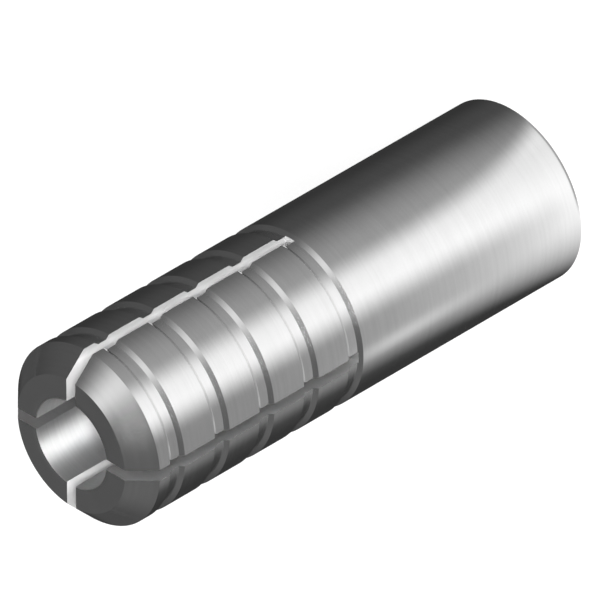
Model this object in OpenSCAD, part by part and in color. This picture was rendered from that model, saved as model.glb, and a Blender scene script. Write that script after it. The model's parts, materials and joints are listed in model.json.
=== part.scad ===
// Drop-in anchor: a slotted steel shell, threaded at the mouth, with a tapered expander plug inside.
// It stands on its mouth: z = 0 is the mouth face and +Z runs along the axis to the slotted tip.
// The two saw cuts lie in the XZ and YZ planes. All sizes are in millimetres.

/* [Shell] */
// Outside diameter of the shell
shell_d = 12.7; // [12:0.1:20]
// Length of the shell from mouth to tip
shell_l = 39.3; // [37:0.1:80]
// Chamfer on the outer edge of the mouth
mouth_chamfer = 0.1; // [0.05:0.05:0.6]
// Chamfer around the tip, at 45 degrees
tip_chamfer = 1.55; // [0.5:0.05:2.2]

/* [Thread] */
// Nominal diameter of the internal thread
thread_d = 9.525; // [9:0.005:10.5]
// Pitch of the internal thread
thread_pitch = 1.5875; // [1:0.0005:1.75]
// Depth of the threaded bore below the mouth
thread_l = 16; // [8:0.5:17]
// Width by which the countersink at the mouth clears the thread
countersink_rim = 0.1; // [0.05:0.05:0.4]

/* [Plug chamber] */
// Step in from the threaded bore to the plug chamber, on the radius
chamber_step = 0.25; // [0.2:0.05:0.4]
// Half angle of the taper that the plug wedges into
taper_angle = 3.9; // [3.5:0.1:6]
// Diameter of the hole at the tip
tip_hole_d = 6.26; // [5.6:0.02:7]
// Length of the straight bore at the tip
tip_bore_l = 3.3; // [2:0.1:5]

/* [Rings] */
// Number of ring grooves
ring_count = 5; // [1:1:6]
// Spacing of the ring grooves
ring_pitch = 3.96; // [2.5:0.01:4.4]
// Width of a ring groove at the surface
ring_w = 1.31; // [1:0.01:2.2]
// Depth of a ring groove, whose wall on the mouth side stands at 45 degrees
ring_depth = 0.26; // [0.1:0.01:0.38]
// Length of the gentler slope into a ring groove on its tip side
ring_lead = 0.36; // [0.2:0.01:0.6]
// Plain band between the tip chamfer and the first ring groove
ring_offset = 0.9; // [0.2:0.01:3]

/* [Slots] */
// Width of the two crossing saw cuts that part the tip into legs
slot_w = 0.79; // [0.4:0.01:1.6]

/* [Plug] */
// Gap between the plug and the bore around it, on the radius
plug_gap = 0.05; // [0.02:0.01:0.1]
// Length of the plug's straight rear
plug_rear_l = 6.5; // [3:0.1:8]
// Length of the plug's tapered nose
plug_nose_l = 6.5; // [4:0.1:8]
// Chamfer on both ends of the plug
plug_chamfer = 0.4; // [0.1:0.05:0.8]
// Travel of the plug from its stored place until it fills the taper
plug_travel = 5; // [1:0.1:6]

/* [Hidden] */

// Ratio of a 60 degree internal thread's height on the diameter to its pitch
thread_height = 1.0825;
// Overrun of a cut past the surface that it opens
cut_over = 1;
// Place of the saw cuts' end on the last groove's wall, as a share of the wall from its outer edge
slot_end = 0.8;
$fn = 96;

shell_r = shell_d / 2;
countersink_r = thread_d / 2 + countersink_rim;
thread_bore_r = (thread_d - thread_height * thread_pitch) / 2;
countersink_l = countersink_r - thread_bore_r;
chamber_r = thread_bore_r - chamber_step;
tip_hole_r = tip_hole_d / 2;
taper_slope = tan(taper_angle);
taper_end = shell_l - tip_bore_l;
taper_start = taper_end - (chamber_r - tip_hole_r) / taper_slope;

ring_first = tip_chamfer + ring_offset;
ring_last_edge = ring_first + (ring_count - 1) * ring_pitch + ring_w;
slot_l = ring_last_edge - ring_depth * slot_end;

plug_r = chamber_r - plug_gap;
plug_nose_start = taper_start - plug_travel;
plug_nose_end = plug_nose_start + plug_nose_l;
plug_rear_end = plug_nose_start - plug_rear_l;
plug_nose_r = plug_r - plug_nose_l * taper_slope;

// Points of one ring groove, mouth side first; edge is its tip-side edge, measured from the tip
function ring_points(edge) = [
    [shell_r, shell_l - edge - ring_w],
    [shell_r - ring_depth, shell_l - edge - ring_w + ring_depth],
    [shell_r - ring_depth, shell_l - edge - ring_lead],
    [shell_r, shell_l - edge]
];

// Half section of the shell: up the outside from the mouth, over the tip, and back down the bore
shell_section = [
    [countersink_r, 0],
    [shell_r - mouth_chamfer, 0],
    [shell_r, mouth_chamfer],
    for (i = [ring_count - 1:-1:0]) each ring_points(ring_first + i * ring_pitch),
    [shell_r, shell_l - tip_chamfer],
    [shell_r - tip_chamfer, shell_l],
    [tip_hole_r, shell_l],
    [tip_hole_r, taper_end],
    [chamber_r, taper_start],
    [chamber_r, thread_l],
    [thread_bore_r, thread_l],
    [thread_bore_r, countersink_l]
];

// Half section of the plug, from its rear face to the face of its nose
plug_section = [
    [0, plug_rear_end],
    [plug_r - plug_chamfer, plug_rear_end],
    [plug_r, plug_rear_end + plug_chamfer],
    [plug_r, plug_nose_start],
    [plug_nose_r + plug_chamfer * taper_slope, plug_nose_end - plug_chamfer],
    [plug_nose_r - plug_chamfer, plug_nose_end],
    [0, plug_nose_end]
];

// One saw cut straight across the tip, along X
module saw_cut() {
    translate([-shell_r - cut_over, -slot_w / 2, shell_l - slot_l])
        cube([shell_d + 2 * cut_over, slot_w, slot_l + cut_over]);
}

// Shell, turned in one piece and then sawn crosswise into four legs
module anchor_shell() {
    color([0.66, 0.66, 0.66])
        difference() {
            rotate_extrude() polygon(shell_section);
            saw_cut();
            rotate([0, 0, 90]) saw_cut();
        }
}

// Solid tapered plug that is driven towards the tip to spread the legs
module expander_plug() {
    color([0.55, 0.55, 0.55])
        rotate_extrude() polygon(plug_section);
}

anchor_shell();
expander_plug();
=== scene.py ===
import json
import bmesh
import bpy
import numpy as np
from mathutils import Matrix, Vector


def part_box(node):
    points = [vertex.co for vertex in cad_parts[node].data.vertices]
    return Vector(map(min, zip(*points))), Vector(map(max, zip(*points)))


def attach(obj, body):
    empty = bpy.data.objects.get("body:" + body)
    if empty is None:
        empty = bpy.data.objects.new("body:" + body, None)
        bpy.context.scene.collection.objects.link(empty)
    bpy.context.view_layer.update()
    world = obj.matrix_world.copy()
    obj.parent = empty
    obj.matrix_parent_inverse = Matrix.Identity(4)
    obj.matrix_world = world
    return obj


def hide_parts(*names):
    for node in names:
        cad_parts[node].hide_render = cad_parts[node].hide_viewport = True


# Drop-in anchor on its mouth: a slotted, zinc-plated shell with a thread inside, and the plug behind that.
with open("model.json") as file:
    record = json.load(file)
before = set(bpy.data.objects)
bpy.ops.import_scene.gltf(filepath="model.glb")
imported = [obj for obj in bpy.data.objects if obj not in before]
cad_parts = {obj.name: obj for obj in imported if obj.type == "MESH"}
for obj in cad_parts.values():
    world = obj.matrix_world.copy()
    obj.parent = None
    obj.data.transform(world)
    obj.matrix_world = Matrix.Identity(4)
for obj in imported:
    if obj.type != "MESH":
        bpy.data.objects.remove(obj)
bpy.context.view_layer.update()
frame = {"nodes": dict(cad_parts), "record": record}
mm = 0.001
upwards = Vector((0, 0, 1))
threadMount = next(m for m in frame["record"]["mounts"] if m["name"] == "thread")
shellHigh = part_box("anchor_shell")[1]
plugLow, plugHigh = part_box("expander_plug")
print("frame loaded:", len(frame["nodes"]), "nodes")


# Each row divided by its own length.
def unitRows(rows):
    return rows / np.linalg.norm(rows, axis=1, keepdims=True)


# Each inner corner of an open line becomes an arc that touches both sides. The arc's centre lies on the
# corner's bisector at radius / sin(half angle), and its ends lie radius / tan(half angle) from the corner.
# A guard point on either side of the arc keeps the shading of the flats flat.
def roundedLine(corners, radii, steps=3, guard=0.03):
    points = np.asarray(corners, float)
    before, at, after = points[:-2], points[1:-1], points[2:]
    back = unitRows(before - at)
    ahead = unitRows(after - at)
    half = np.arccos(np.clip((back * ahead).sum(1), -1, 1)) / 2
    radius = np.broadcast_to(np.asarray(radii, float), half.shape)
    touch = (radius / np.tan(half))[:, None]
    centre = at + unitRows(back + ahead) * (radius / np.sin(half))[:, None]
    start = at + back * touch - centre
    end = at + ahead * touch - centre
    turn = (np.pi - 2 * half)[:, None]
    share = np.linspace(0, 1, steps + 1)[None, :]
    startShare = (np.sin((1 - share) * turn) / np.sin(turn))[..., None]   # the spoke swings from start to end
    endShare = (np.sin(share * turn) / np.sin(turn))[..., None]
    arcs = centre[:, None] + startShare * start[:, None] + endShare * end[:, None]
    lead = (at + back * (touch + guard))[:, None]
    trail = (at + ahead * (touch + guard))[:, None]
    body = np.concatenate([lead, arcs, trail], axis=1).reshape(-1, 2)
    return np.vstack([points[:1], body, points[-1:]])


# A line with points added so that no stretch is longer than step; length along the line is the parameter.
def subdivided(line, step):
    travel = np.r_[0, np.cumsum(np.linalg.norm(np.diff(line, axis=0), axis=1))]
    parts = np.maximum(np.ceil(np.diff(travel) / step).astype(int), 1)
    order = np.arange(parts.sum()) - np.repeat(np.cumsum(parts) - parts, parts)
    inner = np.repeat(travel[:-1], parts) + np.repeat(np.diff(travel) / parts, parts) * order
    places = np.r_[inner, travel[-1]]
    return np.c_[np.interp(places, travel, line[:, 0]), np.interp(places, travel, line[:, 1])]


# Quads of a grid of rows by columns, each in the order (i, j), (i, j + 1), (i + 1, j + 1), (i + 1, j).
# The grid's first point has the index first. A closed grid goes on from its last row or column to its first.
def gridQuads(rows, columns, first=0, closeRows=False, closeColumns=False):
    i = np.arange(rows if closeRows else rows - 1)[:, None]
    j = np.arange(columns if closeColumns else columns - 1)[None, :]
    nextI = (i + 1) % rows
    nextJ = (j + 1) % columns
    corners = (i * columns + j, i * columns + nextJ, nextI * columns + nextJ, nextI * columns + j)
    return np.stack(np.broadcast_arrays(*corners), -1) + first


# An object around a mesh, a lamp or a camera, linked to the scene.
def addObject(name, data):
    made = bpy.data.objects.new(name, data)
    bpy.context.scene.collection.objects.link(made)
    return made


# Points in millimetres and quads become a mesh in metres. Points within weld of each other are merged, and
# every face is shaded smooth. Slots holds each face's place in the list of materials.
def meshPiece(name, points, quads, materials, slots=None, weld=1e-4):
    mesh = bpy.data.meshes.new(name)
    mesh.from_pydata(np.asarray(points, float), [], quads.tolist())
    if slots is not None:
        mesh.polygons.foreach_set("material_index", np.asarray(slots, np.int32))
    work = bmesh.new()
    work.from_mesh(mesh)
    bmesh.ops.remove_doubles(work, verts=work.verts, dist=weld)
    bmesh.ops.scale(work, vec=(mm, mm, mm), verts=work.verts)
    work.to_mesh(mesh)
    work.free()
    mesh.validate()
    mesh.shade_smooth()
    for material in materials:
        mesh.materials.append(material)
    return addObject(name, mesh)


# A node of the given kind at its place in the editor, with its settings.
def addNode(tree, kind, place, **settings):
    made = tree.nodes.new(kind)
    made.location = place
    for key, value in settings.items():
        setattr(made, key, value)
    return made


# Fixed values for a node's inputs, by their labels or their numbers.
def setInputs(made, values):
    for label, value in values.items():
        made.inputs[label].default_value = value


# Grey as an opaque colour: the level three times.
def grey(level):
    return (level, level, level, 1)


# Ramp of greys over the stops' own span: a stop at place lies at (place - first) / (last - first).
def greyRamp(tree, where, stops):
    first, last = stops[0][0], stops[-1][0]
    ramp = addNode(tree, "ShaderNodeValToRGB", where)
    elements = ramp.color_ramp.elements
    for place, _ in stops[1:-1]:
        elements.new((place - first) / (last - first))
    for element, (_, level) in zip(elements, stops):
        element.color = grey(level)
    return ramp


# Marks that all the steel shares: the group's inputs as they start, and its three noises
marksSet = {
    "inputs": {"Ring Scale": 9.0, "Stretch": 0.03, "Cloud Scale": 0.5},
    "rings": {"Detail": 4.0, "Roughness": 0.6},
    "clouds": {"Detail": 3.0, "Roughness": 0.55},
    "grain": {"Scale": 14.0, "Detail": 2.0, "Roughness": 0.5},
}


# On Object coordinates in millimetres, lathe rings are noise with X and Y multiplied by a small stretch, so
# that it changes almost only along Z. Clouds are slow noise, grain is fast noise, and Along X is X itself.
def turnedMarks(m):
    group = bpy.data.node_groups.new("turnedMarks", "ShaderNodeTree")
    for label, start in m["inputs"].items():
        socket = group.interface.new_socket(label, in_out="INPUT", socket_type="NodeSocketFloat")
        socket.default_value = start
    for label in ("Rings", "Clouds", "Grain", "Along X"):
        group.interface.new_socket(label, in_out="OUTPUT", socket_type="NodeSocketFloat")
    entry = addNode(group, "NodeGroupInput", (-1000, 0))
    leave = addNode(group, "NodeGroupOutput", (400, 0))
    coords = addNode(group, "ShaderNodeTexCoord", (-1000, 300))
    inMm = addNode(group, "ShaderNodeVectorMath", (-800, 300), operation="SCALE")
    setInputs(inMm, {"Scale": 1 / mm})
    parts = addNode(group, "ShaderNodeSeparateXYZ", (-600, 300))
    acrossX = addNode(group, "ShaderNodeMath", (-400, 400), operation="MULTIPLY")
    acrossY = addNode(group, "ShaderNodeMath", (-400, 250), operation="MULTIPLY")
    joined = addNode(group, "ShaderNodeCombineXYZ", (-200, 300))
    rings = addNode(group, "ShaderNodeTexNoise", (0, 400))
    clouds = addNode(group, "ShaderNodeTexNoise", (0, 100))
    grain = addNode(group, "ShaderNodeTexNoise", (0, -200))
    setInputs(rings, m["rings"])
    setInputs(clouds, m["clouds"])
    setInputs(grain, m["grain"])
    wire = group.links.new
    wire(coords.outputs["Object"], inMm.inputs[0])
    wire(inMm.outputs[0], parts.inputs[0])
    wire(parts.outputs["X"], acrossX.inputs[0])
    wire(entry.outputs["Stretch"], acrossX.inputs[1])
    wire(parts.outputs["Y"], acrossY.inputs[0])
    wire(entry.outputs["Stretch"], acrossY.inputs[1])
    wire(acrossX.outputs[0], joined.inputs["X"])
    wire(acrossY.outputs[0], joined.inputs["Y"])
    wire(parts.outputs["Z"], joined.inputs["Z"])
    wire(joined.outputs[0], rings.inputs["Vector"])
    wire(entry.outputs["Ring Scale"], rings.inputs["Scale"])
    wire(inMm.outputs[0], clouds.inputs["Vector"])
    wire(entry.outputs["Cloud Scale"], clouds.inputs["Scale"])
    wire(inMm.outputs[0], grain.inputs["Vector"])
    wire(rings.outputs["Fac"], leave.inputs["Rings"])
    wire(clouds.outputs["Fac"], leave.inputs["Clouds"])
    wire(grain.outputs["Fac"], leave.inputs["Grain"])
    wire(parts.outputs["X"], leave.inputs["Along X"])
    return group


marks = turnedMarks(marksSet)
noiseSpan = {"From Min": 0.3, "From Max": 0.7}       # values that a noise mostly keeps to

# Looks of the steel; tones are greys. The sawn steel comes as a lit and a shaded copy, which is painted light
# and shade, and the lit copy's stops are pairs of X in millimetres and a tone
zincLook = {
    "metallic": 1.0, "anisotropic": 0.0, "grainTurn": 0.25, "dark": 0.86, "light": 0.94,
    "ringScale": 4.0, "stretch": 0.03, "cloudScale": 0.45, "ringShare": 0.6, "grainShare": 0.35,
    "smooth": 0.12, "rough": 0.17, "bump": 0.2, "bumpHeight": 0.01,
}
# Lit copy of the sawn steel, pale and matt so that the lamps light its walls brightly: painted light
sawnLitCopyLook = {
    **zincLook, "metallic": 0.05, "dark": 0.92, "light": 1.0,
    "ringScale": 5.0, "smooth": 0.45, "rough": 0.6, "bump": 0.3,
    # painted light and shade: tones along X that lighten and darken the slot walls by depth
    "stops": [(-6.4, 0.45), (-4.2, 0.46), (-3.4, 0.68), (3.0, 0.37), (5.2, 0.5), (5.7, 0.58), (6.1, 0.35),
              (6.4, 0.29)],
}
# Shaded copy of the sawn steel, metallic so that its walls mirror the dark inside of the slot: painted shade
sawnShadedCopyLook = {
    **zincLook, "metallic": 0.94, "dark": 0.78, "light": 0.86,
    "ringScale": 5.0, "smooth": 0.3, "rough": 0.4, "bump": 0.3,
}
# The bore's roughness and grain are its own finish; its tones, set below the outside's, are painted shade
# that darkens the inside of the shell
boreLook = {
    **zincLook, "metallic": 0.965, "anisotropic": 0.9, "dark": 0.72, "light": 0.82,
    "ringScale": 6.0, "smooth": 0.58, "rough": 0.66, "bump": 0.15,
}
plugLook = {
    **zincLook, "dark": 0.5, "light": 0.6,
    "ringScale": 7.0, "smooth": 0.28, "rough": 0.4,
}


# Steel from the shared marks: clouds + (rings - clouds) * ring share moves the tone from dark to light and
# the roughness from smooth to rough, and rings + (grain - rings) * grain share raises a very low bump.
# Where the look has stops, the tone is multiplied by a ramp along X, which paints light and shade that vary
# the sawn walls' tone with their depth in the slot.
def steelMaterial(name, look):
    material = bpy.data.materials.new(name)
    material.use_nodes = True
    tree = material.node_tree
    wire = tree.links.new
    shader = tree.nodes["Principled BSDF"]
    setInputs(shader, {"Metallic": look["metallic"], "Anisotropic": look["anisotropic"],
                       "Anisotropic Rotation": look["grainTurn"]})
    pattern = addNode(tree, "ShaderNodeGroup", (-900, 0), node_tree=marks)
    setInputs(pattern, {"Ring Scale": look["ringScale"], "Stretch": look["stretch"],
                        "Cloud Scale": look["cloudScale"]})
    blend = addNode(tree, "ShaderNodeMix", (-700, -100), data_type="FLOAT")
    setInputs(blend, {"Factor": look["ringShare"]})
    spread = addNode(tree, "ShaderNodeMapRange", (-500, 50))
    setInputs(spread, noiseSpan)
    tone = addNode(tree, "ShaderNodeMix", (-500, 200), data_type="RGBA")
    setInputs(tone, {"A": grey(look["dark"]), "B": grey(look["light"])})
    gloss = addNode(tree, "ShaderNodeMapRange", (-500, -100))
    setInputs(gloss, {**noiseSpan, "To Min": look["smooth"], "To Max": look["rough"]})
    relief = addNode(tree, "ShaderNodeMix", (-700, -350), data_type="FLOAT")
    setInputs(relief, {"Factor": look["grainShare"]})
    bump = addNode(tree, "ShaderNodeBump", (-500, -350))
    setInputs(bump, {"Strength": look["bump"], "Distance": look["bumpHeight"] * mm})
    wire(pattern.outputs["Clouds"], blend.inputs["A"])
    wire(pattern.outputs["Rings"], blend.inputs["B"])
    wire(blend.outputs["Result"], spread.inputs["Value"])
    wire(spread.outputs["Result"], tone.inputs["Factor"])
    colour = tone.outputs["Result"]
    # painted light and shade along X, on the lit copy of the sawn steel
    if "stops" in look:
        stops = look["stops"]
        across = addNode(tree, "ShaderNodeMapRange", (-500, 400))
        setInputs(across, {"From Min": stops[0][0], "From Max": stops[-1][0]})
        ramp = greyRamp(tree, (-500, 600), stops)
        shaded = addNode(tree, "ShaderNodeMix", (-250, 300), data_type="RGBA", blend_type="MULTIPLY")
        setInputs(shaded, {"Factor": 1.0})
        wire(pattern.outputs["Along X"], across.inputs["Value"])
        wire(across.outputs["Result"], ramp.inputs["Fac"])
        wire(colour, shaded.inputs["A"])
        wire(ramp.outputs["Color"], shaded.inputs["B"])
        colour = shaded.outputs["Result"]
    wire(colour, shader.inputs["Base Color"])
    wire(blend.outputs["Result"], gloss.inputs["Value"])
    wire(gloss.outputs["Result"], shader.inputs["Roughness"])
    wire(pattern.outputs["Rings"], relief.inputs["A"])
    wire(pattern.outputs["Grain"], relief.inputs["B"])
    wire(relief.outputs["Result"], bump.inputs["Height"])
    wire(bump.outputs["Normal"], shader.inputs["Normal"])
    return material


zincTurned = steelMaterial("zincTurned", zincLook)
sawnLitCopy = steelMaterial("sawnLitCopy", sawnLitCopyLook)
sawnShadedCopy = steelMaterial("sawnShadedCopy", sawnShadedCopyLook)
boredSteel = steelMaterial("boredSteel", boreLook)
plugSteel = steelMaterial("plugSteel", plugLook)
print("steel materials made")


# Shell: sizes in millimetres, outside radius and length from the frame, bore from the thread's mount
taperAngle = np.radians(3.9)                         # half angle of the shell's taper and of the plug's nose
shellSizes = {
    "radius": shellHigh[0] / mm, "length": shellHigh[2] / mm,
    "mouthChamfer": 0.1, "tipChamfer": 1.55, "tipHole": 3.13, "tipBore": 3.3,
    "threadRadius": 9.525 / 2, "threadBore": threadMount["dims"]["r_mm"], "threadPitch": 1.5875,
    "threadLength": 16.0, "threadRoot": 1 / 16, "threadFlank": 3 / 8,      # ends of root and flank in pitches
    "countersinkRim": 0.1, "chamberStep": 0.25,
    "ringCount": 5, "ringPitch": 3.96, "ringWidth": 1.31,
    "ringDepth": 0.26, "ringLead": 0.36, "ringOffset": 0.9,
    "slotWidth": 0.79, "slotCount": 4, "slotEnd": 0.8,
    "edgeRound": 0.04, "taperRound": 1.0, "stepRound": 0.05, "sinkRound": 0.02,
    "sharpFrom": np.radians(33), "heightDigits": 5,
    "legColumns": 32, "slotColumns": 2, "wallColumns": 4, "rowStep": 0.8, "threadRows": 16,
}


# Depth of the thread over its bore: with d the distance from the nearest root in pitches, it is the full
# height for d up to the root's end and falls in a straight flank to nothing at the flank's end.
# It runs out over the last pitch.
def threadRelief(z, angle, s):
    place = (z / s["threadPitch"] - angle / (2 * np.pi)) % 1.0
    away = np.minimum(place, 1 - place)
    height = s["threadRadius"] - s["threadBore"]
    flank = np.clip((s["threadFlank"] - away) / (s["threadFlank"] - s["threadRoot"]), 0, 1)
    runOut = np.clip((s["threadLength"] - z) / s["threadPitch"], 0, 1)
    return height * flank * runOut


# Angles of the columns for rows of the given radii: in each quarter the slot spans asin(half width / radius)
# to either side of its own direction, and the leg spans the rest, so slot walls stay flat and parallel.
def columnAngles(radii, s):
    spread = np.arcsin(s["slotWidth"] / 2 / radii)[:, None, None]
    quarter = 2 * np.pi / s["slotCount"]
    starts = (np.arange(s["slotCount"]) * quarter)[None, :, None]
    across = (np.arange(s["slotColumns"]) / s["slotColumns"])[None, None, :]
    along = (np.arange(s["legColumns"]) / s["legColumns"])[None, None, :]
    slotPart = starts - spread + 2 * spread * across
    legPart = starts + spread + (quarter - 2 * spread) * along
    return np.concatenate([slotPart, legPart], axis=2).reshape(len(radii), -1)


# Half section of the shell, as points of radius and height, in two lines: up the outside from the middle of
# the mouth's face to the tip's rim, and down the bore from the tip's face to the mouth's.
# Each ring groove has four corners.
def shellLines(s):
    r, length = s["radius"], s["length"]
    sinkRadius = s["threadRadius"] + s["countersinkRim"]
    sinkDepth = sinkRadius - s["threadBore"]
    chamber = s["threadBore"] - s["chamberStep"]
    taperEnd = length - s["tipBore"]
    taperStart = taperEnd - (chamber - s["tipHole"]) / np.tan(taperAngle)
    tipRim = r - s["tipChamfer"]
    middleOfTip = (tipRim + s["tipHole"]) / 2
    middleOfMouth = (sinkRadius + r - s["mouthChamfer"]) / 2

    # ring grooves from the mouth side up
    count = s["ringCount"]
    edges = length - s["tipChamfer"] - s["ringOffset"] - np.arange(count - 1, -1, -1) * s["ringPitch"]
    low = edges - s["ringWidth"]
    full = np.full(count, r)
    deep = full - s["ringDepth"]
    rings = np.stack([np.c_[full, low], np.c_[deep, low + s["ringDepth"]], np.c_[deep, edges - s["ringLead"]],
                      np.c_[full, edges]], axis=1).reshape(-1, 2)
    slotFloor = low[0] + s["ringDepth"] * s["slotEnd"]       # the saw cuts end on the last groove's wall

    mouth = [(middleOfMouth, 0), (r - s["mouthChamfer"], 0), (r, s["mouthChamfer"]), rings[0]]
    tip = [(r, length - s["tipChamfer"]), (tipRim, length)]
    outer = np.vstack([roundedLine(mouth, s["edgeRound"]), rings[1:], tip])
    bore = [(middleOfTip, length), (s["tipHole"], length), (s["tipHole"], taperEnd), (chamber, taperStart),
            (chamber, s["threadLength"]), (s["threadBore"], s["threadLength"]), (s["threadBore"], sinkDepth),
            (sinkRadius, 0), (middleOfMouth, 0)]
    boreRounds = [s["edgeRound"], s["taperRound"], s["taperRound"], s["stepRound"], s["stepRound"],
                  s["sinkRound"], s["edgeRound"]]
    inner = roundedLine(bore, boreRounds)[2:]                # starts where the tip's face ends
    return outer, inner, slotFloor


# Outer and inner rows above the slot floor. They share their heights, which are those of both lines' points
# with long stretches split, and their radii are the lines' own at those heights.
def slottedRows(outer, inner, slotFloor, s):
    heights = np.r_[outer[:, 1], inner[:, 1]]
    above = np.unique(np.round(np.r_[slotFloor, heights[heights > slotFloor]], s["heightDigits"]))
    above = subdivided(np.c_[np.zeros(len(above)), above], s["rowStep"])[:, 1]
    rising = inner[::-1]
    behindThread = rising[rising[:, 1] > s["threadLength"] + s["edgeRound"]]
    outerUp = np.c_[np.interp(above, outer[:, 1], outer[:, 0]), above]
    innerUp = np.c_[np.interp(above, behindThread[:, 1], behindThread[:, 0]), above]
    return outerUp, innerUp


# Grids of one slot, as (outward, sideways, height) about its own direction: two flat walls, ruled between
# the inner and the outer rows, and a floor, ruled between the arcs where it meets the bore and the outside.
def slotGrids(outerUp, innerUp, tipFace, slotFloor, s):
    half = s["slotWidth"] / 2
    share = np.linspace(0, 1, s["wallColumns"] + 1)
    inAlong = np.sqrt(innerUp[:, 0] ** 2 - half ** 2)
    outAlong = np.sqrt(outerUp[:, 0] ** 2 - half ** 2)
    along = inAlong[:, None] + (outAlong - inAlong)[:, None] * share
    along[-1] = np.sqrt(np.r_[innerUp[-1, 0], tipFace[::-1, 0], outerUp[-1, 0]] ** 2 - half ** 2)
    height = np.broadcast_to(outerUp[:, 1:], along.shape)
    walls = [np.stack([along, np.full(along.shape, side * half), height], -1) for side in (1, -1)]

    across = np.linspace(-1, 1, s["slotColumns"] + 1)
    outTurn = np.arcsin(half / outerUp[0, 0]) * across
    inTurn = np.arcsin(half / innerUp[0, 0]) * across
    outEdge = outerUp[0, 0] * np.c_[np.cos(outTurn), np.sin(outTurn)]
    inEdge = innerUp[0, 0] * np.c_[np.cos(inTurn), np.sin(inTurn)]
    flat = inEdge[:, None] + (outEdge - inEdge)[:, None] * share[:, None]
    floor = np.concatenate([flat, np.full((*flat.shape[:2], 1), slotFloor)], -1)
    return [*walls, floor]


# One value of each element of a mesh, as an array.
def readValues(elements, key, kind):
    values = np.empty(len(elements), kind)
    elements.foreach_get(key, values)
    return values


# An edge is crisp where its faces meet at more than the angle and one of them isn't of the smooth slot, so
# the corners of the outside and of the saw cuts are crisp, and the bore and its thread stay smooth.
def markCrisp(mesh, angle, smoothSlot):
    mesh.set_sharp_from_angle(angle=angle)
    crisp = readValues(mesh.attributes["sharp_edge"].data, "value", bool)
    loopEdge = readValues(mesh.loops, "edge_index", np.int32)
    faceSlot = readValues(mesh.polygons, "material_index", np.int32)
    faceLoops = readValues(mesh.polygons, "loop_total", np.int32)
    outside = np.zeros(len(mesh.edges), bool)
    outside[loopEdge[np.repeat(faceSlot != smoothSlot, faceLoops)]] = True
    mesh.attributes["sharp_edge"].data.foreach_set("value", crisp & outside)


# The shell is its half section carried round the axis, with the slot columns left out above the slot floor
# and the slots' own walls and floors put in. In the thread the radius is at least the bore plus the depth.
def shellPiece(s):
    outer, inner, slotFloor = shellLines(s)
    outerUp, innerUp = slottedRows(outer, inner, slotFloor, s)
    share = np.linspace(0, 1, s["wallColumns"] + 1)[1:-1]
    tipRadius = outerUp[-1, 0] + (innerUp[-1, 0] - outerUp[-1, 0]) * share
    tipFace = np.c_[tipRadius, np.full(len(share), s["length"])]

    # below the slot floor: plain rows outside, thread rows inside, without the point that both lines share
    outerLow = subdivided(outer[outer[:, 1] < slotFloor], s["rowStep"])
    innerLow = inner[inner[:, 1] < slotFloor]
    threaded = innerLow[:, 1] < s["threadLength"]
    chamberRows = subdivided(innerLow[~threaded], s["rowStep"])
    threadRows = subdivided(innerLow[threaded], s["threadPitch"] / s["threadRows"])[:-1]
    section = np.vstack([outerLow, outerUp, tipFace, innerUp[::-1], chamberRows, threadRows])
    slotFrom = len(outerLow)
    boreFrom = slotFrom + len(outerUp) + len(tipFace)
    slotTo = boreFrom + len(innerUp) - 1

    angles = columnAngles(section[:, 0], s)
    radii = np.broadcast_to(section[:, :1], angles.shape).copy()
    heights = np.broadcast_to(section[:, 1:], angles.shape)
    low = np.arange(len(section)) > slotTo                   # inner rows below the slot floor
    cut = s["threadBore"] + threadRelief(heights[low], angles[low], s)
    radii[low] = np.where(heights[low] < s["threadLength"], np.maximum(radii[low], cut), radii[low])
    body = np.stack([radii * np.cos(angles), radii * np.sin(angles), heights], -1)

    outsideSlot, boreSlot, cutSlot = 0, 1, 2                 # places in the list of materials
    rows, columns = angles.shape
    rowOf = np.arange(rows)[:, None]
    slotColumn = np.arange(columns) % (s["slotColumns"] + s["legColumns"]) < s["slotColumns"]
    sawn = slotColumn & (rowOf >= slotFrom) & (rowOf < slotTo)
    rowSlot = np.broadcast_to(np.where(rowOf >= boreFrom, boreSlot, outsideSlot), sawn.shape)
    points = [body.reshape(-1, 3)]
    faces = [gridQuads(rows, columns, closeRows=True, closeColumns=True)[~sawn]]
    slots = [rowSlot[~sawn]]
    filled = rows * columns

    # each slot is turned to its own direction, with its second wall flipped, and the slots take turns between
    # the lit
    # and the shaded copy of the sawn steel: painted light and shade on the slot walls
    grids = slotGrids(outerUp, innerUp, tipFace, slotFloor, s)
    for slot in range(s["slotCount"]):
        turn = slot * 2 * np.pi / s["slotCount"]
        outward = np.array([np.cos(turn), np.sin(turn)])
        sideways = np.array([-np.sin(turn), np.cos(turn)])
        for grid, order in zip(grids, (1, -1, 1)):
            flat = grid[..., :1] * outward + grid[..., 1:2] * sideways
            points.append(np.concatenate([flat, grid[..., 2:]], -1).reshape(-1, 3))
            faces.append(gridQuads(*grid.shape[:2], first=filled).reshape(-1, 4)[:, ::order])
            slots.append(np.full(len(faces[-1]), cutSlot + slot % 2))
            filled += len(points[-1])
    piece = meshPiece("anchorShell", np.vstack(points), np.vstack(faces),
                      [zincTurned, boredSteel, sawnLitCopy, sawnShadedCopy], np.concatenate(slots))
    markCrisp(piece.data, s["sharpFrom"], boreSlot)
    return piece


shell = shellPiece(shellSizes)
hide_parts("anchor_shell")
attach(shell, "shell")
print("shell made:", len(shell.data.polygons), "faces")


# Plug: rear and nose heights from the frame, cone parallel to the shell's taper
plugSizes = {
    "radius": plugHigh[0] / mm, "rear": plugLow[2] / mm, "front": plugHigh[2] / mm,
    "rearLength": 6.5, "chamfer": 0.4, "edgeRound": 0.12, "columns": 96, "rowStep": 0.6,
}


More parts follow.
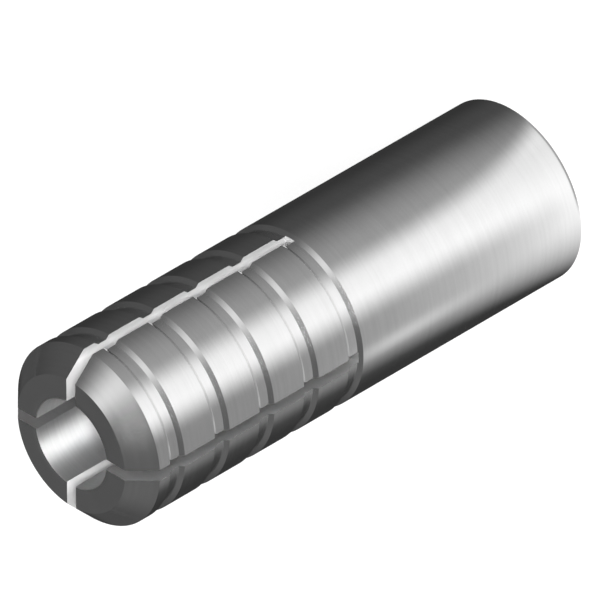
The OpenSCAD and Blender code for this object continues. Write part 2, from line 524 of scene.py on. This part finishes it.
# The plug is its half section carried round the axis, closed at a pole on each end.
def plugPiece(p):
    noseStart = p["rear"] + p["rearLength"]
    slope = np.tan(taperAngle)
    noseRadius = p["radius"] - (p["front"] - noseStart) * slope
    corners = [(0, p["rear"]), (p["radius"] - p["chamfer"], p["rear"]),
               (p["radius"], p["rear"] + p["chamfer"]), (p["radius"], noseStart),
               (noseRadius + p["chamfer"] * slope, p["front"] - p["chamfer"]),
               (noseRadius - p["chamfer"], p["front"]), (0, p["front"])]
    section = subdivided(roundedLine(corners, p["edgeRound"]), p["rowStep"])
    radius, height = section[:, :1], section[:, 1:]
    turn = np.arange(p["columns"]) * 2 * np.pi / p["columns"]
    parts = np.broadcast_arrays(radius * np.cos(turn), radius * np.sin(turn), height)
    points = np.stack(parts, -1).reshape(-1, 3)
    quads = gridQuads(len(section), p["columns"], closeColumns=True).reshape(-1, 4)
    return meshPiece("expanderPlug", points, quads, [plugSteel])


plug = plugPiece(plugSizes)
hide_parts("expander_plug")
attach(plug, "plug")
print("plug made:", len(plug.data.polygons), "faces")


# Camera: looks down the corner between two slots, turned so that the tip points to the lower left.
# The view is the photo's isometric one, through a lens long enough to keep edges parallel.
cameraSet = {
    "back": Vector((1, -1, 1)).normalized(), "roll": np.radians(-120), "target": 18.548, "aside": 0.651,
    "pixelsPerMm": 15.827, "imagePixels": 600, "lens": 1500, "sensor": 36, "clip": (0.05, 20),
}


# The camera stands back from its target by span * lens / sensor, where span is the width of the picture.
# Its right and up are the level and upright directions turned by the roll.
def placeCamera(c):
    back = c["back"]
    level = upwards.cross(back).normalized()
    upright = back.cross(level)
    right = np.cos(c["roll"]) * level + np.sin(c["roll"]) * upright
    up = np.cos(c["roll"]) * upright - np.sin(c["roll"]) * level
    target = upwards * (c["target"] * mm) + level * c["aside"] * mm
    span = c["imagePixels"] / c["pixelsPerMm"] * mm
    data = bpy.data.cameras.new("camera")
    data.lens = c["lens"]
    data.sensor_width = c["sensor"]
    data.clip_start, data.clip_end = c["clip"]
    camera = addObject("camera", data)
    place = target + back * span * c["lens"] / c["sensor"]
    turn = Matrix((right, up, back)).transposed().to_4x4()
    camera.matrix_world = Matrix.Translation(place) @ turn
    bpy.context.scene.camera = camera


placeCamera(cameraSet)
toCamera = Vector((cameraSet["back"].x, cameraSet["back"].y, 0)).normalized()
toSide = upwards.cross(toCamera)
print("camera placed")


# A material with nothing in it but its output.
def bareMaterial(name):
    material = bpy.data.materials.new(name)
    material.use_nodes = True
    tree = material.node_tree
    tree.nodes.clear()
    return material, tree, addNode(tree, "ShaderNodeOutputMaterial", (600, 0))


# Stage: floor that shows white to the camera and in reflections and still takes the shadow
floorSet = {"size": 6.0, "below": 0.02, "tone": 0.9, "whiteShare": 0.75, "white": 1.16}


# A square floor. Rays from the camera and from reflections see matt + (glow - matt) * white share, and all
# other rays see the matt floor alone.
def paleFloor(f):
    material, tree, out = bareMaterial("paleFloor")
    mix = addNode(tree, "ShaderNodeMixShader", (400, 0))
    matt = addNode(tree, "ShaderNodeBsdfDiffuse", (100, -50))
    setInputs(matt, {"Color": grey(f["tone"])})
    glow = addNode(tree, "ShaderNodeEmission", (100, -200))
    setInputs(glow, {"Strength": f["white"]})
    path = addNode(tree, "ShaderNodeLightPath", (-300, 200))
    seen = addNode(tree, "ShaderNodeMath", (-50, 250), operation="MAXIMUM")
    part = addNode(tree, "ShaderNodeMath", (150, 250), operation="MULTIPLY")
    setInputs(part, {1: f["whiteShare"]})
    wire = tree.links.new
    wire(path.outputs["Is Camera Ray"], seen.inputs[0])
    wire(path.outputs["Is Glossy Ray"], seen.inputs[1])
    wire(seen.outputs[0], part.inputs[0])
    wire(part.outputs[0], mix.inputs["Fac"])
    wire(matt.outputs[0], mix.inputs[1])
    wire(glow.outputs[0], mix.inputs[2])
    wire(mix.outputs[0], out.inputs["Surface"])
    reach = f["size"] / 2
    drop = -f["below"] * mm
    corners = [(-reach, -reach, drop), (reach, -reach, drop), (reach, reach, drop), (-reach, reach, drop)]
    mesh = bpy.data.meshes.new("floor")
    mesh.from_pydata(corners, [], [(0, 1, 2, 3)])
    mesh.materials.append(material)
    floor = addObject("floor", mesh)


paleFloor(floorSet)

# Graded paper laid round the anchor, as a photographer lays it about bright metal; only reflections see it.
# It is white towards the camera, grey to both sides and dark behind, with a lighter strip on the right, and a
# painted contact shadow lies along its very foot.
# Turns are in degrees from the camera, and heights and lengths in millimetres. A pair is the middle and half
# width of a soft step. Three numbers are a base, an extra at the mouth and the height over which it fades.
paperSet = {
    "columns": 241, "rows": 90, "rowPower": 4, "reach": 900.0, "turnedUp": 70.0, "below": 0.01,
    "white": 1.07, "whiteFall": 0.2, "whiteFallFrom": (0.0, 15.0),
    "leftGrey": 0.34, "leftWhite": (8.5, 21.0, 4.0), "leftWhiteHalf": 8.0, "leftDark": (33.0, 18.0),
    "rightGrey": (0.25, 0.8, 9.0), "rightWhite": (17.0, 4.0, 4.0), "rightWhiteHalf": 9.0,
    "rightDark": (51.0, 6.0, 20.0), "rightDarkHalf": (8.5, 22.0, 7.0),
    "strip": 0.3, "stripTurn": 45.0, "stripHalf": 5.0, "stripFrom": (12.0, 6.0), "stripTo": (19.5, 1.0),
    "dark": 0.036, "darkRise": 0.03, "darkFrom": (62.0, 12.0), "far": 0.07, "farFrom": (70.0, 18.0),
    # painted contact shadow at the paper's foot: its tone, the height it reaches and the turn where it starts
    "footShadow": 0.35, "footShadowTo": 0.25, "footShadowFrom": (-28.0, 8.0), "gapHalf": 2.5, "gapTo": 50.0,
}


# Smooth step from 0 to 1 while value goes from middle - half to middle + half.
def softStep(value, middle, half):
    share = np.clip((value - middle) / (2 * half) + 0.5, 0, 1)
    return share * share * (3 - 2 * share)


# A boundary or a tone that moves with height: base + extra * exp(-height / fall).
def fading(values, height):
    base, extra, fall = values
    return base + extra * np.exp(-height / fall)


# Tone of the paper: white, which soft steps over the turn change to grey and then to dark on either side.
# The strip is a bell over the turn. At the very foot a painted contact shadow darkens the paper: nothing left
# of its turn is lighter than the shadow's tone.
def paperTone(c, turn, height):
    leftGrey = softStep(turn, fading(c["leftWhite"], height), c["leftWhiteHalf"])
    leftDark = softStep(turn, *c["leftDark"])
    rightGrey = softStep(-turn, fading(c["rightWhite"], height), c["rightWhiteHalf"])
    rightDark = softStep(-turn, fading(c["rightDark"], height), fading(c["rightDarkHalf"], height))
    strip = c["strip"] * np.exp(-((turn + c["stripTurn"]) / c["stripHalf"]) ** 2)
    strip = strip * softStep(height, *c["stripFrom"]) * (1 - softStep(height, *c["stripTo"]))
    rightTone = np.minimum(fading(c["rightGrey"], height) + strip, c["white"])
    white = c["white"] * (1 - c["whiteFall"] * softStep(turn, *c["whiteFallFrom"]))
    dark = c["dark"] + c["darkRise"] * (1 - softStep(abs(turn), *c["darkFrom"]))
    tone = white + (c["leftGrey"] - white) * leftGrey + (rightTone - white) * rightGrey
    tone = tone + (dark - tone) * np.maximum(leftDark, rightDark)
    # painted contact shadow along the foot of the paper
    footShadow = (height < c["footShadowTo"]) * softStep(turn, *c["footShadowFrom"])
    return tone + (np.minimum(tone, c["footShadow"]) - tone) * footShadow


# The paper's grid follows the reflections: a point of the shank whose normal is turned by turn from the
# camera, at the given height, mirrors the floor in the direction 2 * turn, at height / slope from itself,
# where slope is the tangent of the camera's height angle.
def gradedPaper(c, radius):
    turn = np.linspace(-90, 90, c["columns"])[None, :]       # the half of the shank that the camera sees
    height = c["reach"] * np.linspace(0, 1, c["rows"])[:, None] ** c["rowPower"]
    bearing = np.radians(turn)
    slope = cameraSet["back"].z / np.hypot(cameraSet["back"].x, cameraSet["back"].y)
    run = height / slope
    ahead = radius * np.cos(bearing) + run * np.cos(2 * bearing)
    aside = radius * np.sin(bearing) + run * np.sin(2 * bearing)
    tone = paperTone(c, turn, height)

    # behind the anchor the two halves leave a strip as wide as it, which is dark but for a gap close by
    backPlaces = [-radius, -c["gapHalf"], c["gapHalf"], radius]
    backAside = np.broadcast_to(backPlaces, (c["rows"], len(backPlaces)))
    ahead = np.hstack([ahead, np.broadcast_to(-run, backAside.shape)])
    aside = np.hstack([aside, backAside])
    tone = np.hstack([tone, np.full(backAside.shape, c["dark"])])

    # far off nothing is darker than the far tone, and the far end is turned up: the last row again, higher
    tone = tone + (np.maximum(tone, c["far"]) - tone) * softStep(height, *c["farFrom"])
    ahead, aside, tone = (np.vstack([v, v[-1:]]) for v in (ahead, aside, tone))
    level = np.full(tone.shape, -c["below"])
    level[-1] = c["turnedUp"]
    quads = gridQuads(*tone.shape)
    keep = np.ones(quads.shape[:2], bool)
    keep[:, c["columns"] - 1] = False                        # no quad joins the paper to the strip
    keep[:-1, c["columns"] + 1] = run[1:, 0] > c["gapTo"]    # the gap along the middle of the strip
    spots = ahead.reshape(-1, 1) * np.array(toCamera) + aside.reshape(-1, 1) * np.array(toSide)
    spots[:, 2] = level.ravel()

    material, tree, out = bareMaterial("gradedPaper")
    glow = addNode(tree, "ShaderNodeEmission", (0, 0))
    shade = addNode(tree, "ShaderNodeAttribute", (-300, 0), attribute_name="tone")
    tree.links.new(shade.outputs["Fac"], glow.inputs["Strength"])
    tree.links.new(glow.outputs[0], out.inputs["Surface"])
    mesh = bpy.data.meshes.new("gradedPaper")
    mesh.from_pydata(spots * mm, [], quads[keep].tolist())
    toneValues = mesh.attributes.new("tone", "FLOAT", "POINT")
    toneValues.data.foreach_set("value", tone.ravel().astype(np.float32))
    mesh.materials.append(material)
    paper = addObject("gradedPaper", mesh)
    paper.visible_camera = False
    paper.visible_diffuse = False
    paper.visible_shadow = False
    paper.visible_transmission = False


gradedPaper(paperSet, shellSizes["radius"])

# Soft lamps, placed by their turn from the camera (towards its left), their height angle and their distance.
# Two of them don't shine, which means that reflections don't see them.
lampAim = 20                                         # height on the axis that the lamps face, in millimetres
lampSet = {
    "front": {"turn": -15, "height": 39, "away": 300, "size": (200, 60), "power": 0.88, "shine": True},
    "deep": {"turn": -5, "height": 56, "away": 300, "size": (60, 60), "power": 0.9, "shine": False},
    "low": {"turn": 22, "height": 4, "away": 300, "size": (120, 40), "power": 0.8, "shine": False},
}


# Unit direction towards a lamp or glow: cos(height) along its level direction and sin(height) upwards.
def lampDirection(lamp):
    turn, height = np.radians(lamp["turn"]), np.radians(lamp["height"])
    level = toCamera * np.cos(turn) + toSide * np.sin(turn)
    return level * np.cos(height) + upwards * np.sin(height)


# Each lamp hangs at the aim plus its direction times its distance, and its back is turned to that direction.
def hangLamps(lamps):
    for name, lamp in lamps.items():
        direction = lampDirection(lamp)
        data = bpy.data.lights.new(name, "AREA")
        data.shape = "RECTANGLE"
        data.size = lamp["size"][0] * mm
        data.size_y = lamp["size"][1] * mm
        data.energy = lamp["power"]
        made = addObject(name, data)
        made.location = direction * lamp["away"] * mm + upwards * (lampAim * mm)
        made.rotation_mode = "QUATERNION"
        made.rotation_quaternion = direction.to_track_quat("Z", "Y")
        made.visible_glossy = lamp["shine"]


hangLamps(lampSet)

# World: a pale line at the horizon, then dim, and brighter again overhead, in every direction alike.
# A stop is the sine of the height angle and the level there. Soft glows are added, each placed like a lamp.
worldSet = {
    "stops": [(0.0, 0.9), (0.012, 0.9), (0.03, 0.055), (0.35, 0.08), (0.57, 0.085), (0.71, 0.1), (0.82, 0.1),
              (1.0, 0.16)],
    "glows": [{"turn": 38, "height": 51, "width": 14, "level": 0.68},
              {"turn": -110, "height": 23, "width": 25, "level": 0.04}],
}


# Level of the world: the ramp over height, plus level * exp((cos(angle off) - 1) / width^2) of each glow.
def skyGradient(w):
    world = bpy.data.worlds.new("studio")
    world.use_nodes = True
    tree = world.node_tree
    wire = tree.links.new
    coords = addNode(tree, "ShaderNodeTexCoord", (-1200, 0))
    parts = addNode(tree, "ShaderNodeSeparateXYZ", (-1000, 300))
    ramp = greyRamp(tree, (-800, 300), w["stops"])
    wire(coords.outputs["Generated"], parts.inputs[0])
    wire(parts.outputs["Z"], ramp.inputs["Fac"])
    total = ramp.outputs["Color"]
    for row, glow in enumerate(w["glows"]):
        sharp = 1 / np.radians(glow["width"]) ** 2
        facing = addNode(tree, "ShaderNodeVectorMath", (-1000, -200 * row), operation="DOT_PRODUCT")
        setInputs(facing, {1: lampDirection(glow)})
        inside = addNode(tree, "ShaderNodeMath", (-800, -200 * row), operation="MULTIPLY_ADD")
        setInputs(inside, {1: sharp, 2: -sharp})
        bell = addNode(tree, "ShaderNodeMath", (-600, -200 * row), operation="EXPONENT")
        more = addNode(tree, "ShaderNodeMath", (-400, -200 * row), operation="MULTIPLY_ADD")
        setInputs(more, {1: glow["level"]})
        wire(coords.outputs["Generated"], facing.inputs[0])
        wire(facing.outputs["Value"], inside.inputs[0])
        wire(inside.outputs[0], bell.inputs[0])
        wire(bell.outputs[0], more.inputs[0])
        wire(total, more.inputs[2])
        total = more.outputs[0]
    wire(total, tree.nodes["Background"].inputs["Color"])
    bpy.context.scene.world = world


skyGradient(worldSet)
bpy.context.scene.view_settings.view_transform = "Standard"
print("stage and light set")
